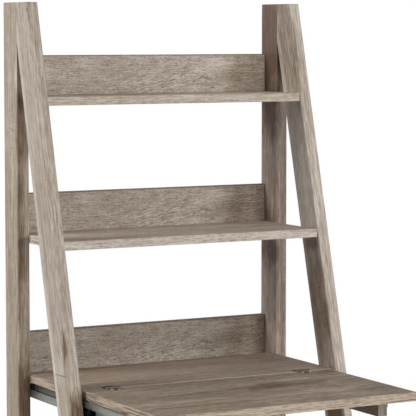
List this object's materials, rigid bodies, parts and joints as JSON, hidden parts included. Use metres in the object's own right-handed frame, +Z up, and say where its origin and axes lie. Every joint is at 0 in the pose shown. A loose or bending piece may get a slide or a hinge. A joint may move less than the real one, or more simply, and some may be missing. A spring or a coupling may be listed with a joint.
{
  "type": "ladder desk",
  "caption": "Free-standing A-frame ladder desk with back-railed shelves and a hinged writing flap that folds up, carried by pull-out arms on roller slides.",
  "frame": {"origin": "on the floor, in the middle of the overall width and of the overall depth with the flap open", "axes": "+X to the right as seen from the front, +Y to the back, +Z up from the floor to the post tops"},
  "size_m": [0.65, 0.637, 1.525],
  "materials": {
    "grey_oak": "matte grey-washed oak laminate on particle board",
    "beech": "plain turned beech",
    "slide_steel": "satin zinc-plated sheet",
    "plated_steel": "bright zinc-plated",
    "hinge_metal": "dark nickel-plated",
    "roller_nylon": "black nylon",
    "stop_rubber": "black moulded rubber",
    "glide_plastic": "dark plastic"
  },
  "bodies": {
    "frame": {"left_rear_post": "grey_oak", "right_rear_post": "grey_oak", "left_front_leg": "grey_oak", "right_front_leg": "grey_oak", "left_side_tie": "grey_oak", "right_side_tie": "grey_oak", "top_shelf": "grey_oak", "middle_shelf": "grey_oak", "desk_shelf": "grey_oak", "top_back_rail": "grey_oak", "middle_back_rail": "grey_oak", "desk_back_rail": "grey_oak", "lower_back_rail": "grey_oak", "foot_glides": "glide_plastic", "dowels": "beech", "cam_bolts": "plated_steel", "cam_locks": "plated_steel", "left_slide_channel": "slide_steel", "right_slide_channel": "slide_steel", "front_roller_pins": "plated_steel", "slide_rear_stops": "stop_rubber", "slide_screws": "plated_steel", "left_hinge_shelf_leaf": "hinge_metal", "right_hinge_shelf_leaf": "hinge_metal", "hinge_pins": "hinge_metal", "hinge_shelf_screws": "plated_steel"},
    "flap": {"flap": "grey_oak", "left_hinge_flap_leaf": "hinge_metal", "right_hinge_flap_leaf": "hinge_metal", "hinge_flap_screws": "plated_steel"},
    "left_arm": {"left_arm": "grey_oak", "left_runner": "slide_steel", "left_rear_roller_pin": "plated_steel", "left_runner_screws": "plated_steel"},
    "right_arm": {"right_arm": "grey_oak", "right_runner": "slide_steel", "right_rear_roller_pin": "plated_steel", "right_runner_screws": "plated_steel"},
    "left_front_roller": {"left_front_roller": "roller_nylon"},
    "right_front_roller": {"right_front_roller": "roller_nylon"},
    "left_rear_roller": {"left_rear_roller": "roller_nylon"},
    "right_rear_roller": {"right_rear_roller": "roller_nylon"}
  },
  "joints": [
    {"name": "flap_hinge", "type": "hinge", "parent": "frame", "child": "flap", "pos_m": [0, 0.01598, 0.748], "axis": [-1, 0, 0], "range_deg": [0, 101.5]},
    {"name": "left_arm_slide", "type": "slide", "parent": "frame", "child": "left_arm", "axis": [0, 1, 0], "range_m": [0, 0.2]},
    {"name": "right_arm_slide", "type": "slide", "parent": "frame", "child": "right_arm", "axis": [0, 1, 0], "range_m": [0, 0.2]},
    {"name": "left_front_roller_spin", "type": "hinge", "parent": "frame", "child": "left_front_roller", "pos_m": [-0.29395, -0.02552, 0.7094], "axis": [1, 0, 0], "range_deg": [-1600, 0]},
    {"name": "right_front_roller_spin", "type": "hinge", "parent": "frame", "child": "right_front_roller", "pos_m": [0.29395, -0.02552, 0.7094], "axis": [1, 0, 0], "range_deg": [-1600, 0]},
    {"name": "left_rear_roller_spin", "type": "hinge", "parent": "left_arm", "child": "left_rear_roller", "pos_m": [-0.2928, 0.02748, 0.708], "axis": [1, 0, 0], "range_deg": [0, 1880]},
    {"name": "right_rear_roller_spin", "type": "hinge", "parent": "right_arm", "child": "right_rear_roller", "pos_m": [0.2928, 0.02748, 0.708], "axis": [1, 0, 0], "range_deg": [0, 1880]}
  ],
  "couplings": [
    {"joint": "left_front_roller_spin", "follows": "left_arm_slide", "rad_per_m": -136.99},
    {"joint": "right_front_roller_spin", "follows": "right_arm_slide", "rad_per_m": -136.99},
    {"joint": "left_rear_roller_spin", "follows": "left_arm_slide", "rad_per_m": 161.29},
    {"joint": "right_rear_roller_spin", "follows": "right_arm_slide", "rad_per_m": 161.29}
  ]
}
